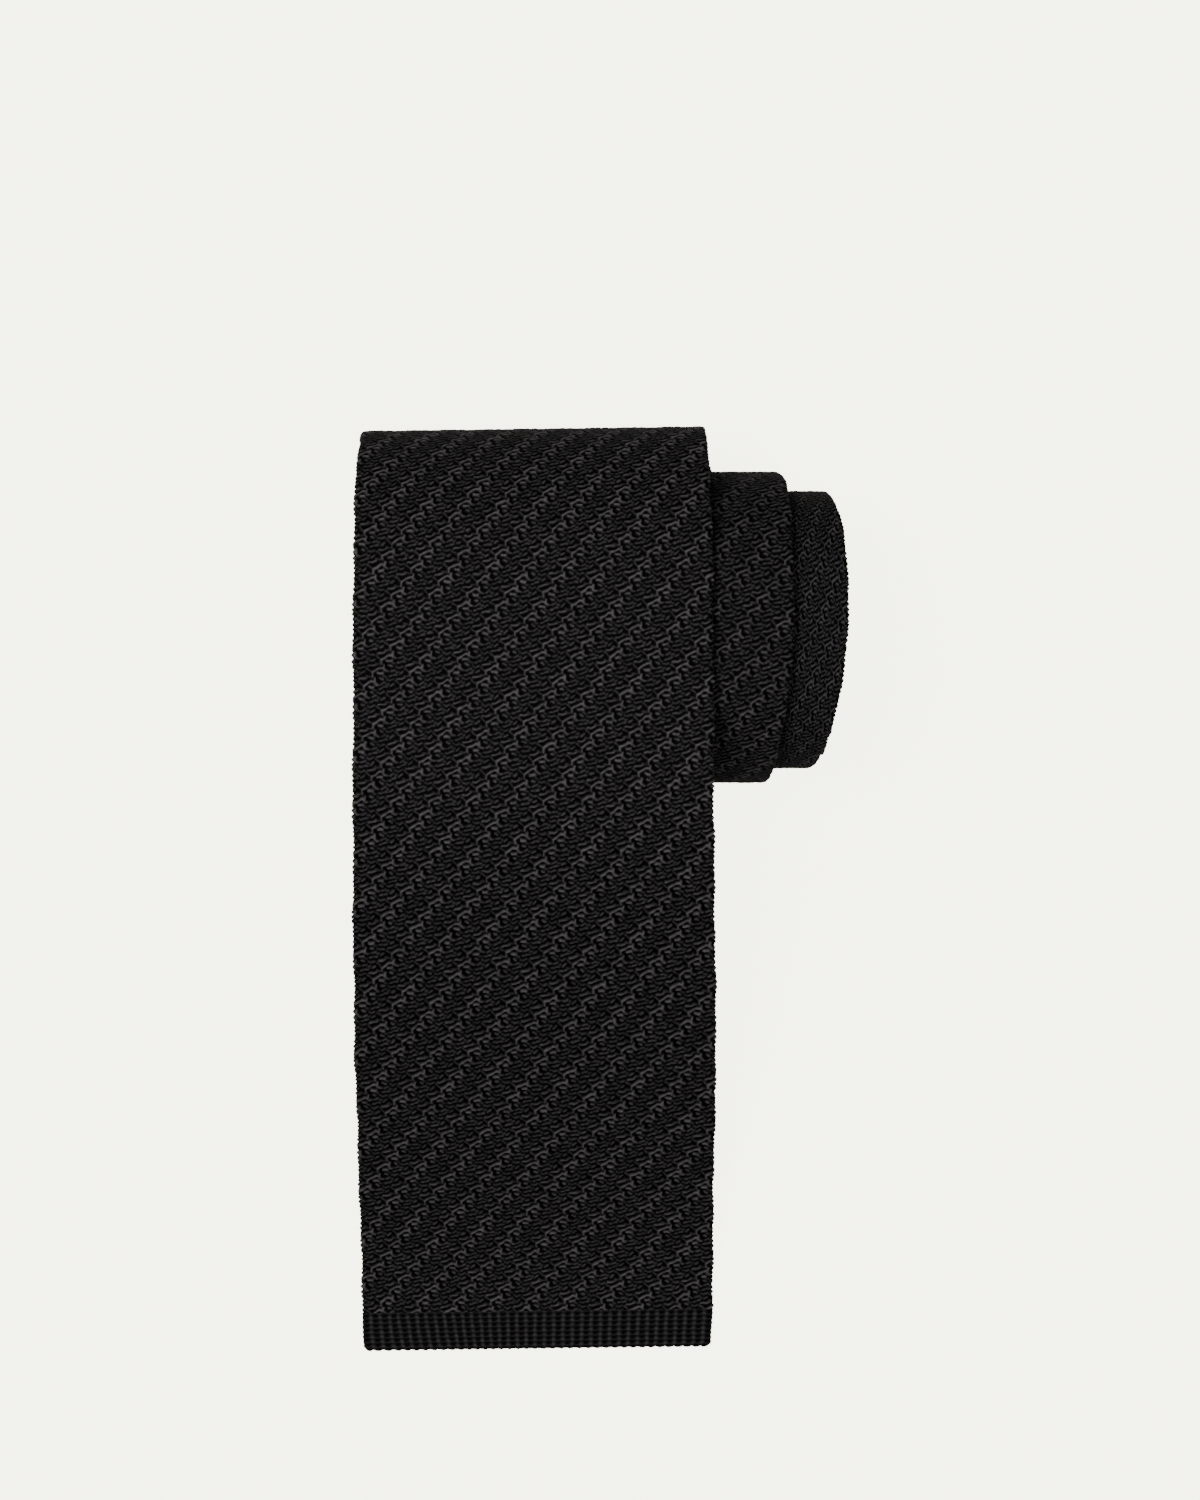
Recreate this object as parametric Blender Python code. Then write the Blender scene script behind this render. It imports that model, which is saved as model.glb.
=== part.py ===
"""A square-ended knitted silk necktie, rolled up from its tail, with its blade let down in front.

Frame: +Z up, the surface it lies on is Z = 0. X runs across the cloth and +X is the side that the
inner turns have slipped out to. The blade comes off the top of the roll and runs down towards -Y.
The origin is on the flat patch that the roll rests on, under the middle of the roll.

The cloth is one long strip. Its route is a chain of stations in the YZ plane, from the tip of the
blade, over the top of the roll and then turn by turn into the core. Every piece is an outline in
the cloth's own section, X across and "rise" out of its right side, swept along part of that route.
"""
import math

import bmesh
import bpy

MM = 0.001

# Cloth: a knitted panel folded to the back, so its thickness is two layers of knit.
CLOTH = 1.9 * MM
EDGE_ROUND = 0.6 * MM
BLADE_WIDTH = 80.0 * MM
NECK_WIDTH = 46.0 * MM
TAIL_WIDTH = 52.0 * MM
HEM_WIDTH = 78.4 * MM
HEM_DEPTH = 8.8 * MM
HEM_THICKNESS = 1.5 * MM
GAP = 0.3 * MM

# Roll: tight turns round a flat core, then loose turns, and one slack wrap at the far side.
CORE_RADIUS = 2.8 * MM
HALF_FLAT = 9.5 * MM
TIGHT_TURNS = 7.5
LOOSE_TURNS = 2.5
LOOSE_AIR = 1.05 * MM
FAR_SLACK = 7.5 * MM
STEPS_PER_HALF_TURN = 8

# Sideways slip of the turns: the right-hand edge of the cloth moves out in two easy steps.
FIRST_SLIP = 17.0 * MM
FIRST_SLIP_TURNS = (0.25, 1.0)
SECOND_SLIP = 13.0 * MM
SECOND_SLIP_TURNS = (1.3, 2.0)
TAPER_TURNS = (1.4, 2.0)
TAIL_WIDENS_TURNS = (6.8, 7.6)

# Blade: level off the roll, then it drapes to the surface and its end lies flat.
LEVEL_RUN = 24.0 * MM
DRAPE_LENGTH = 121.5 * MM
DRAPE_EASE_TOP = 24.0 * MM
DRAPE_EASE_FOOT = 26.0 * MM
FLAT_FOOT = 10.2 * MM
DRAPE_STEPS = 12
LIFT_OFFSET = 2.0 * MM
CURL_FROM_TIP = 96.0 * MM

# Seam down the middle of the back: the folded edges leave a groove that the thread lies in.
SEAM_GROOVE_HALF = 0.9 * MM
SEAM_GROOVE_DEPTH = 1.0 * MM

# Stay tape: a woven tape let into the back of the neck, which keeps the knit from stretching.
TAPE_WIDTH = 14.8 * MM
TAPE_THICKNESS = 0.4 * MM

# Keeper loop, labels and their stitches, all on the back of the wrap.
LOOP_FROM_FAR = 4.0 * MM
LOOP_HEIGHT = 12.0 * MM
LOOP_ROOM_WIDTH = 55.0 * MM
LOOP_ROOM = 2.8 * MM
LOOP_FOOT = 5.0 * MM
LOOP_SHOULDER = 2.0 * MM
LOOP_THICKNESS = 1.0 * MM
TACK_THICKNESS = 0.6 * MM
TACK_WIDTH = 1.0 * MM
LABEL_FROM_LOOP = 4.0 * MM
LABEL_WIDTH = 52.0 * MM
LABEL_HEIGHT = 20.0 * MM
LABEL_THICKNESS = 0.4 * MM
STITCH_INSET = 1.0 * MM
STITCH_WIDTH = 0.8 * MM
STITCH_THICKNESS = 0.5 * MM
CARE_FROM_LABEL = 3.0 * MM
CARE_WIDTH = 24.0 * MM
CARE_HEIGHT = 15.0 * MM
CARE_THICKNESS = 0.3 * MM

# Sizes that follow from those above.
HALF_CLOTH = CLOTH / 2
BACK = -HALF_CLOTH
TIGHT_PITCH = CLOTH + GAP
LOOSE_PITCH = TIGHT_PITCH + LOOSE_AIR
CROWN_RADIUS = CORE_RADIUS + TIGHT_TURNS * TIGHT_PITCH + LOOSE_TURNS * LOOSE_PITCH
ALL_TURNS = TIGHT_TURNS + LOOSE_TURNS
SKIN = BACK - GAP
TAPE_GROOVE_HALF = TAPE_WIDTH / 2 + GAP
TAPE_GROOVE_DEPTH = TAPE_THICKNESS + GAP


def radius_at(turn):
    """Centre-line radius of the roll's round ends, which shrinks as the cloth winds inwards."""
    loose = min(turn, LOOSE_TURNS)
    return CROWN_RADIUS - loose * LOOSE_PITCH - (turn - loose) * TIGHT_PITCH


ROLL_CENTRE = radius_at(0.5) + HALF_CLOTH


def ease(value, limits):
    """0 before the first limit, 1 after the second, and smooth between them."""
    share = (value - limits[0]) / (limits[1] - limits[0])
    share = max(0.0, min(1.0, share))
    return share * share * (3 - 2 * share)


def cloth_width(turn):
    """Width of the strip: the blade, the narrow neck and the slightly wider tail."""
    narrowing = (BLADE_WIDTH - NECK_WIDTH) * ease(turn, TAPER_TURNS)
    widening = (TAIL_WIDTH - NECK_WIDTH) * ease(turn, TAIL_WIDENS_TURNS)
    return BLADE_WIDTH - narrowing + widening


def cloth_centre(turn):
    """X of the strip's middle, worked out from its right-hand edge."""
    slip = FIRST_SLIP * ease(turn, FIRST_SLIP_TURNS) + SECOND_SLIP * ease(turn, SECOND_SLIP_TURNS)
    return BLADE_WIDTH / 2 + slip - cloth_width(turn) / 2


class Station:
    """One place on the cloth's centre line: where it is, which way is out, and how far along."""

    def __init__(self, y, z, out_y, out_z, turn):
        length = math.hypot(out_y, out_z)
        self.y = y
        self.z = z
        self.out_y = out_y / length
        self.out_z = out_z / length
        self.turn = turn
        self.run = 0.0

    def place(self, x, rise):
        """World position of a point of the section, X from the strip's own middle."""
        across = cloth_centre(self.turn) + x
        return (across, self.y + rise * self.out_y, self.z + rise * self.out_z)


def blade_stations():
    """From the tip, flat on the surface, up the drape and level to the roll's crown."""
    foot_y = -HALF_FLAT - LEVEL_RUN - DRAPE_LENGTH
    crown_z = ROLL_CENTRE + CROWN_RADIUS
    foot = (foot_y, HALF_CLOTH)
    foot_handle = (foot_y + DRAPE_EASE_FOOT, HALF_CLOTH + GAP)
    top = (-HALF_FLAT - LEVEL_RUN, crown_z)
    top_handle = (top[0] - DRAPE_EASE_TOP, crown_z)
    stations = [Station(foot_y - FLAT_FOOT, HALF_CLOTH, 0, 1, 0)]
    for step in range(DRAPE_STEPS + 1):
        t = step / DRAPE_STEPS
        weights = ((1 - t) ** 3, 3 * t * (1 - t) ** 2, 3 * t * t * (1 - t), t ** 3)
        slopes = ((1 - t) ** 2, 2 * t * (1 - t), t * t)
        points = (foot, foot_handle, top_handle, top)
        y, z = (sum(w * p[axis] for w, p in zip(weights, points)) for axis in (0, 1))
        along = [
            sum(w * (b[axis] - a[axis]) for w, a, b in zip(slopes, points, points[1:]))
            for axis in (0, 1)
        ]
        stations.append(Station(y, z, -along[1], along[0], 0))
    return stations


def arc_stations(first_turn, start_angle, side_y):
    """Half a turn round one end of the roll. The angle counts from the crown, over the far side."""
    stations = []
    for step in range(STEPS_PER_HALF_TURN + 1):
        share = step / STEPS_PER_HALF_TURN
        turn = first_turn + share / 2
        angle = start_angle + math.pi * share
        radius = radius_at(turn)
        slack = FAR_SLACK if first_turn < 0.5 else 0.0
        reach = radius + slack
        y = side_y + reach * math.sin(angle)
        z = ROLL_CENTRE + radius * math.cos(angle)
        stations.append(Station(y, z, radius * math.sin(angle), reach * math.cos(angle), turn))
    return stations


def route():
    """All the stations, each with its distance from the tip along the cloth."""
    stations = blade_stations()
    turn = 0.0
    while turn < ALL_TURNS:
        stations += arc_stations(turn, 0.0, HALF_FLAT)
        stations += arc_stations(turn + 0.5, math.pi, -HALF_FLAT)
        turn += 1.0
    for before, after in zip(stations, stations[1:]):
        after.run = before.run + math.hypot(after.y - before.y, after.z - before.z)
    return stations


ROUTE = route()


def run_at_turn(turn):
    """Distance from the tip to the first station that is this many turns into the roll."""
    return next(s.run for s in ROUTE[len(blade_stations()):] if s.turn >= turn - 1e-9)


def station_at(run):
    """The place at any distance from the tip, on the straight between its two stations."""
    for before, after in zip(ROUTE, ROUTE[1:]):
        if before.run <= run <= after.run and after.run > before.run:
            share = (run - before.run) / (after.run - before.run)
            mix = [
                getattr(before, key) * (1 - share) + getattr(after, key) * share
                for key in ("y", "z", "out_y", "out_z", "turn")
            ]
            found = Station(*mix)
            found.run = run
            return found
    raise ValueError("the cloth is not that long")


def stretch(start, end):
    """The stations from one distance to another, with an exact one at each end."""
    least = 0.05 * MM
    inside = [s for s in ROUTE if start + least < s.run < end - least]
    return [station_at(start)] + inside + [station_at(end)]


def cloth_outline(groove_half, groove_depth):
    """Section of the folded cloth: rounded folds at the sides and a groove along the back."""
    def outline(station):
        half = cloth_width(station.turn) / 2
        inner = half - EDGE_ROUND
        side = HALF_CLOTH - EDGE_ROUND
        floor = BACK + groove_depth
        return [
            (-half, -side), (-half, side), (-inner, HALF_CLOTH),
            (inner, HALF_CLOTH), (half, side), (half, -side), (inner, BACK),
            (groove_half, BACK), (groove_half, floor),
            (-groove_half, floor), (-groove_half, BACK), (-inner, BACK),
        ]
    return outline


def block_outline(left, right, low, high):
    """A plain rectangle in the section."""
    def outline(station):
        return [(left, low), (left, high), (right, high), (right, low)]
    return outline


def hem_outline(width):
    """Section of a knitted-on end band, thinner than the cloth and level with its back."""
    half = width / 2
    top = BACK + HEM_THICKNESS
    chamfer = EDGE_ROUND / 2

    def outline(station):
        return [
            (-half, BACK), (-half, top - chamfer), (-half + chamfer, top),
            (half - chamfer, top), (half, top - chamfer), (half, BACK),
        ]
    return outline


def loop_outline():
    """Section of the keeper loop: two sewn feet and a bridge with room for the tail under it."""
    room = LOOP_ROOM_WIDTH / 2
    shoulder = room + LOOP_SHOULDER
    toe = shoulder + LOOP_FOOT
    bridge = SKIN - LOOP_ROOM
    left = [(-toe, SKIN), (-shoulder, SKIN), (-room, bridge)]
    upper = left + [(-x, rise) for x, rise in reversed(left)]
    lower = [(x, rise - LOOP_THICKNESS) for x, rise in reversed(upper)]

    def outline(station):
        return upper + lower
    return outline


def sweep(bm, stations, outline):
    """Extrude an outline from station to station, which leaves one closed body in the mesh."""
    first = stations[0]
    ring = [bm.verts.new(first.place(x, rise)) for x, rise in outline(first)]
    face = bm.faces.new(ring)
    start_cap = face
    for station in stations[1:]:
        grown = bmesh.ops.extrude_face_region(bm, geom=[face])["geom"]
        fresh = {item for item in grown if isinstance(item, bmesh.types.BMVert)}
        if face is not start_cap:
            bmesh.ops.delete(bm, geom=[face], context="FACES_ONLY")
        face = next(item for item in grown if isinstance(item, bmesh.types.BMFace))
        ring = [
            next(e.other_vert(v) for e in v.link_edges if e.other_vert(v) in fresh) for v in ring
        ]
        for vert, (x, rise) in zip(ring, outline(station)):
            vert.co = station.place(x, rise)


def make_material(name, colour, roughness, sheen):
    """A Principled cloth or thread, never metallic."""
    material = bpy.data.materials.new(name)
    material.use_nodes = True
    shader = material.node_tree.nodes["Principled BSDF"]
    shader.inputs["Base Color"].default_value = (*colour, 1.0)
    shader.inputs["Roughness"].default_value = roughness
    shader.inputs["Metallic"].default_value = 0.0
    shader.inputs["Sheen Weight"].default_value = sheen
    material.diffuse_color = (*colour, 1.0)
    return material


FINISHES = {
    "knit": ((0.010, 0.010, 0.012), 0.62, 0.35),
    "hem": ((0.013, 0.013, 0.015), 0.60, 0.30),
    "thread": ((0.016, 0.016, 0.018), 0.45, 0.10),
    "tape": ((0.020, 0.020, 0.024), 0.55, 0.15),
    "label": ((0.030, 0.030, 0.036), 0.42, 0.10),
    "care": ((0.75, 0.74, 0.70), 0.38, 0.05),
}


def finish_object(name, bm, finish):
    """Turn a finished mesh into a named object with a material of its own."""
    bmesh.ops.recalc_face_normals(bm, faces=bm.faces)
    mesh = bpy.data.meshes.new(name)
    bm.to_mesh(mesh)
    bm.free()
    mesh.materials.append(make_material(name, *FINISHES[finish]))
    thing = bpy.data.objects.new(name, mesh)
    bpy.context.scene.collection.objects.link(thing)
    return thing


def make_piece(name, finish, start, end, outline):
    """One named object: an outline swept from one distance along the cloth to another."""
    bm = bmesh.new()
    sweep(bm, stretch(start, end), outline)
    return finish_object(name, bm, finish)


# Where the strip is divided, as distances from the tip.
BLADE_CURL = CURL_FROM_TIP
BLADE_LIFT = run_at_turn(0.0) - 2 * HALF_FLAT - LIFT_OFFSET
FAR_SIDE = run_at_turn(0.25)
NEAR_SIDE = [run_at_turn(turn + 0.75) for turn in range(7)]
CLOTH_END = ROUTE[-1].run


def make_cloth():
    """The knitted strip, divided where it bends away from the roll and from turn to turn."""
    seam = cloth_outline(SEAM_GROOVE_HALF, SEAM_GROOVE_DEPTH)
    taped = cloth_outline(TAPE_GROOVE_HALF, TAPE_GROOVE_DEPTH)
    cuts = [
        ("blade_lower", HEM_DEPTH, BLADE_CURL, seam),
        ("blade_upper", BLADE_CURL, BLADE_LIFT, seam),
        ("wrap_front", BLADE_LIFT, FAR_SIDE, seam),
        ("outer_turn", FAR_SIDE, NEAR_SIDE[0], seam),
        ("second_turn", NEAR_SIDE[0], NEAR_SIDE[1], seam),
        ("neck_taper", NEAR_SIDE[1], NEAR_SIDE[2], seam),
        ("neck_coil", NEAR_SIDE[2], NEAR_SIDE[6], taped),
        ("tail_coil", NEAR_SIDE[6], CLOTH_END - HEM_DEPTH, seam),
    ]
    for name, start, end, outline in cuts:
        make_piece(name, "knit", start + GAP / 2, end - GAP / 2, outline)
    make_piece("front_hem_band", "hem", 0.0, HEM_DEPTH - GAP / 2, hem_outline(HEM_WIDTH))
    tail_hem_width = TAIL_WIDTH - (BLADE_WIDTH - HEM_WIDTH)
    tail_hem_start = CLOTH_END - HEM_DEPTH + GAP / 2
    make_piece("tail_hem_band", "hem", tail_hem_start, CLOTH_END, hem_outline(tail_hem_width))


def make_seams():
    """The thread that closes the back, in the groove, one length for each moving part."""
    half = SEAM_GROOVE_HALF - GAP
    thread = block_outline(-half, half, BACK, BACK + SEAM_GROOVE_DEPTH - GAP)
    end_gap = 2 * GAP
    lengths = [
        ("tip_back_seam", HEM_DEPTH, BLADE_CURL),
        ("blade_back_seam", BLADE_CURL, BLADE_LIFT),
        ("wrap_back_seam", BLADE_LIFT, FAR_SIDE),
        ("roll_back_seam", FAR_SIDE, NEAR_SIDE[2]),
        ("tail_back_seam", NEAR_SIDE[6], CLOTH_END - HEM_DEPTH),
    ]
    for name, start, end in lengths:
        make_piece(name, "thread", start + end_gap, end - end_gap, thread)


def make_stay_tape():
    """The woven tape in the back of the neck."""
    half = TAPE_WIDTH / 2
    tape = block_outline(-half, half, BACK, BACK + TAPE_THICKNESS)
    make_piece("neck_stay_tape", "tape", NEAR_SIDE[2] + 2 * GAP, NEAR_SIDE[6] - 2 * GAP, tape)


def make_keeper():
    """The loop that the tail is slipped through when the tie is worn, with a tack at each end."""
    end = FAR_SIDE - LOOP_FROM_FAR
    start = end - LOOP_HEIGHT
    make_piece("keeper_loop", "knit", start, end, loop_outline())
    near = LOOP_ROOM_WIDTH / 2 + LOOP_SHOULDER + LOOP_FOOT + GAP
    for name, side in (("keeper_tack_left", -1), ("keeper_tack_right", 1)):
        tack = side_bar(near, TACK_WIDTH, TACK_THICKNESS, side)
        make_piece(name, "thread", start + GAP, end - GAP, tack)
    return start


def side_bar(near, width, thickness, side):
    """A bar of stitches on the back, just outside the edge of what it holds."""
    left, right = sorted((side * near, side * (near + width)))
    return block_outline(left, right, SKIN - thickness, SKIN)


def make_maker_label(end):
    """A blank woven label flat on the back, stitched down at both ends. Gives its start."""
    start = end - LABEL_HEIGHT
    half = LABEL_WIDTH / 2
    cover = block_outline(-half, half, SKIN - LABEL_THICKNESS, SKIN)
    make_piece("maker_label", "label", start, end, cover)
    for name, side in (("label_stitch_left", -1), ("label_stitch_right", 1)):
        bar = side_bar(half + GAP, STITCH_WIDTH, STITCH_THICKNESS, side)
        make_piece(name, "thread", start + STITCH_INSET, end - STITCH_INSET, bar)
    return start


def make_care_label(end):
    """A small satin care label, sewn down along the edge nearest the maker's label."""
    start = end - CARE_HEIGHT
    half = CARE_WIDTH / 2
    satin = block_outline(-half, half, SKIN - CARE_THICKNESS, SKIN)
    make_piece("care_label", "care", start, end, satin)
    bar = block_outline(STITCH_INSET - half, half - STITCH_INSET, SKIN - STITCH_THICKNESS, SKIN)
    make_piece("care_stitch", "thread", end + GAP, end + GAP + STITCH_WIDTH, bar)


def build():
    """Remove what the scene holds and make the tie."""
    for thing in list(bpy.data.objects):
        bpy.data.objects.remove(thing, do_unlink=True)
    make_cloth()
    make_seams()
    make_stay_tape()
    loop_start = make_keeper()
    label_start = make_maker_label(loop_start - LABEL_FROM_LOOP)
    make_care_label(label_start - CARE_FROM_LABEL)
    crown_top = ROLL_CENTRE + CROWN_RADIUS + HALF_CLOTH
    far_outside = HALF_FLAT + radius_at(0.25) + FAR_SLACK + HALF_CLOTH
    curl = station_at(BLADE_CURL)
    lift = station_at(BLADE_LIFT)
    print(f"length {CLOTH_END:.4f}, roll top {crown_top:.5f}")
    print(f"wrap_open pivot y {far_outside:.5f} z {ROLL_CENTRE:.5f}")
    print(f"blade_lift pivot {lift.place(0, HALF_CLOTH)} run {BLADE_LIFT:.5f}")
    print(f"blade_curl pivot {curl.place(0, HALF_CLOTH)} run {BLADE_CURL:.5f}")
    print(f"loop {loop_start:.5f}, label {label_start:.5f}, far side {FAR_SIDE:.5f}")


build()
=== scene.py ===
# %% [markdown]
# # A rolled, square-ended tie in knitted silk
#
# A knitted tie is one long strip. It is knitted flat, folded so that its edges meet down the
# middle of the back, and sewn up there. This lesson builds the looks of such a tie around a packed
# CAD model: the strip runs from the hem of the blade, over the roll and turn by turn into its core.
#
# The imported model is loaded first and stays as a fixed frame. Its sizes and joints are settled, so
# every piece below is placed from it, in metres, with +Z up and the tie lying on Z = 0.

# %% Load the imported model
import math
from collections import namedtuple

import bmesh
import bpy
import numpy as np
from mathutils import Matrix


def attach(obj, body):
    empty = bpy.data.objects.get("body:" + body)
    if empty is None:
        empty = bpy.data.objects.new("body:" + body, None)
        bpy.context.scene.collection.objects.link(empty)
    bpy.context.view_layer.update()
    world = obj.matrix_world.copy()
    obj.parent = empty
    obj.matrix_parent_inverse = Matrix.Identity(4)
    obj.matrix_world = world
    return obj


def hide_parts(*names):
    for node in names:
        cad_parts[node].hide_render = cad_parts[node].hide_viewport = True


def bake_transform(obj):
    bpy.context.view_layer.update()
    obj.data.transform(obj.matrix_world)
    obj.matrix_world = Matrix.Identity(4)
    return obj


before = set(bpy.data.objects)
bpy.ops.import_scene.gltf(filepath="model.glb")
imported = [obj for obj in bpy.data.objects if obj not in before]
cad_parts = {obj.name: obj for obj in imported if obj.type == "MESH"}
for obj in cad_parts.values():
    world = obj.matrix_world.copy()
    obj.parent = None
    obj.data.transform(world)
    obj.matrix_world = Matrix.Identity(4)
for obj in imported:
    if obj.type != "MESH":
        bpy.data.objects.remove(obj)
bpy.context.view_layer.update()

# %% [markdown]
# ## The camera
#
# The tie is seen from straight above, from far enough away that the roll, which is nearer, looks
# only a little larger than the blade's foot. A long lens does that. The camera comes first so that
# everything after it can be judged in the view it is meant for.

# %% Set up a long lens straight above the tie
MM = 0.001
CAMERA_HEIGHT = 1.5
LENS = 157.0
SENSOR_WIDTH = 36.0
VIEW_CENTRE = (14.9 * MM, -27.9 * MM)

lens = bpy.data.cameras.new("overhead_camera")
lens.lens = LENS
lens.sensor_width = SENSOR_WIDTH
camera = bpy.data.objects.new("overhead_camera", lens)
camera.location = (*VIEW_CENTRE, CAMERA_HEIGHT)
bpy.context.scene.collection.objects.link(camera)
bpy.context.scene.camera = camera
print("camera at", tuple(round(value, 4) for value in camera.location))

# %% [markdown]
# ## The route that the cloth takes
#
# The strip's path lies in the YZ plane. It starts flat at the tip of the blade, climbs on a smooth
# curve to the top of the roll, and then winds inwards: half a turn over the far side, half a turn
# under the near side, with a short level run between. Each half turn is a little tighter than the
# one before it by the thickness of the cloth and a gap. The numbers repeat the CAD source, which
# this script can't read. Only the second turn's slack is added here, and the curves are taken in
# many small steps, so that the cloth bends smoothly.

# %% Sizes of the cloth and of the roll
CLOTH = 1.9 * MM
HALF_CLOTH = CLOTH / 2
GAP = 0.3 * MM
BLADE_WIDTH = 80.0 * MM
NECK_WIDTH = 46.0 * MM
TAIL_WIDTH = 52.0 * MM
HEM_DEPTH = 8.8 * MM
HEM_THICKNESS = 1.5 * MM

CORE_RADIUS = 2.8 * MM
HALF_FLAT = 9.5 * MM
TIGHT_TURNS = 7.5
LOOSE_TURNS = 2.5
TIGHT_PITCH = CLOTH + GAP
LOOSE_PITCH = TIGHT_PITCH + 1.05 * MM
CROWN_RADIUS = CORE_RADIUS + TIGHT_TURNS * TIGHT_PITCH + LOOSE_TURNS * LOOSE_PITCH
FAR_SLACK = {0: 7.5 * MM, 1: 1.1 * MM}  # by the turn that starts there
SLIPS = ((17.0 * MM, (0.25, 1.0)), (13.0 * MM, (1.3, 2.0)))  # how far, and over which turns
TAPER_TURNS = (1.4, 2.0)
TAIL_WIDENS_TURNS = (6.8, 7.6)

LEVEL_RUN = 24.0 * MM
DRAPE_LENGTH = 121.5 * MM
DRAPE_EASE_TOP = 24.0 * MM
DRAPE_EASE_FOOT = 26.0 * MM
FLAT_FOOT = 10.2 * MM
CURVE_STEPS = 240
HALF_TURN_STEPS = 64
TINY = 1e-9


def radius_at(turn):
    """Radius of the cloth's middle at a number of turns into the roll."""
    loose = np.minimum(turn, LOOSE_TURNS)
    return CROWN_RADIUS - loose * LOOSE_PITCH - (turn - loose) * TIGHT_PITCH


ROLL_CENTRE = float(radius_at(0.5)) + HALF_CLOTH


def ease(value, limits):
    """0 before the first limit, 1 after the second, and smooth between them."""
    share = np.clip((value - limits[0]) / (limits[1] - limits[0]), 0, 1)
    return share * share * (3 - 2 * share)


def cloth_width(turn):
    """The blade is wide, the neck narrow and the tail a little wider again."""
    narrowing = (BLADE_WIDTH - NECK_WIDTH) * ease(turn, TAPER_TURNS)
    return BLADE_WIDTH - narrowing + (TAIL_WIDTH - NECK_WIDTH) * ease(turn, TAIL_WIDENS_TURNS)


def cloth_centre(turn):
    """X of the strip's middle: the inner turns have slipped out to the right."""
    slipped = sum(size * ease(turn, turns) for size, turns in SLIPS)
    return BLADE_WIDTH / 2 + slipped - cloth_width(turn) / 2


# %% Chain the blade's curve and the half turns into one route
def blade_route():
    """Rows of y, z, the outward direction's y and z, and the turn, from tip to roll."""
    foot_y = -HALF_FLAT - LEVEL_RUN - DRAPE_LENGTH
    top_y = -HALF_FLAT - LEVEL_RUN
    crown = ROLL_CENTRE + CROWN_RADIUS
    handles = np.array([
        (foot_y, HALF_CLOTH), (foot_y + DRAPE_EASE_FOOT, HALF_CLOTH + GAP),
        (top_y - DRAPE_EASE_TOP, crown), (top_y, crown),
    ])
    t = np.linspace(0, 1, CURVE_STEPS + 1)[:, None]
    spots = sum(
        math.comb(3, k) * (1 - t) ** (3 - k) * t ** k * handles[k] for k in range(4)
    )
    slopes = sum(
        math.comb(2, k) * (1 - t) ** (2 - k) * t ** k * (handles[k + 1] - handles[k])
        for k in range(3)
    )
    curve = np.column_stack([spots, -slopes[:, 1], slopes[:, 0], 0 * t])
    return np.vstack([[foot_y - FLAT_FOOT, HALF_CLOTH, 0, 1, 0], curve])


def half_turn_route(first_turn):
    """The same rows for half a turn, over the far side or under the near one."""
    over = first_turn % 1 == 0
    share = np.linspace(0, 1, HALF_TURN_STEPS + 1)
    turn = first_turn + share / 2
    angle = math.pi * (share + (0 if over else 1))
    radius = radius_at(turn)
    reach = radius + FAR_SLACK.get(first_turn, 0)
    y = (HALF_FLAT if over else -HALF_FLAT) + reach * np.sin(angle)
    z = ROLL_CENTRE + radius * np.cos(angle)
    return np.column_stack([y, z, radius * np.sin(angle), reach * np.cos(angle), turn])


half_turns = int(2 * (TIGHT_TURNS + LOOSE_TURNS))
ROUTE = np.vstack([blade_route()] + [half_turn_route(k / 2) for k in range(half_turns)])
steps = np.hypot(*np.diff(ROUTE[:, :2], axis=0).T)
ROUTE = ROUTE[np.append(True, steps > TINY)]
ROUTE[:, 2:4] /= np.hypot(ROUTE[:, 2], ROUTE[:, 3])[:, None]
RUN = np.append(0, np.cumsum(np.hypot(*np.diff(ROUTE[:, :2], axis=0).T)))
CLOTH_END = RUN[-1]


def run_at_turn(turn):
    """Distance from the tip at which the cloth is this many turns into the roll."""
    in_roll = RUN > RUN[CURVE_STEPS + 1] + LEVEL_RUN
    return float(RUN[in_roll & (ROUTE[:, 4] >= turn - TINY)][0])


def route_at(run):
    """y, z, outward y, outward z and turn at distances from the tip."""
    return [np.interp(run, RUN, ROUTE[:, column]) for column in range(5)]


print(f"the strip is {CLOTH_END:.3f} m long, its far side at {run_at_turn(0.25):.4f} m")

# %% [markdown]
# ## How far the knit gives
#
# Knitted silk is stretchy. Its rows of stitches, the courses, open a little where the blade hangs
# off the roll, and the cloth necks in where it bends over the far side. A short table of distances
# from the tip carries each of these, and the values between its rows are interpolated.

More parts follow.
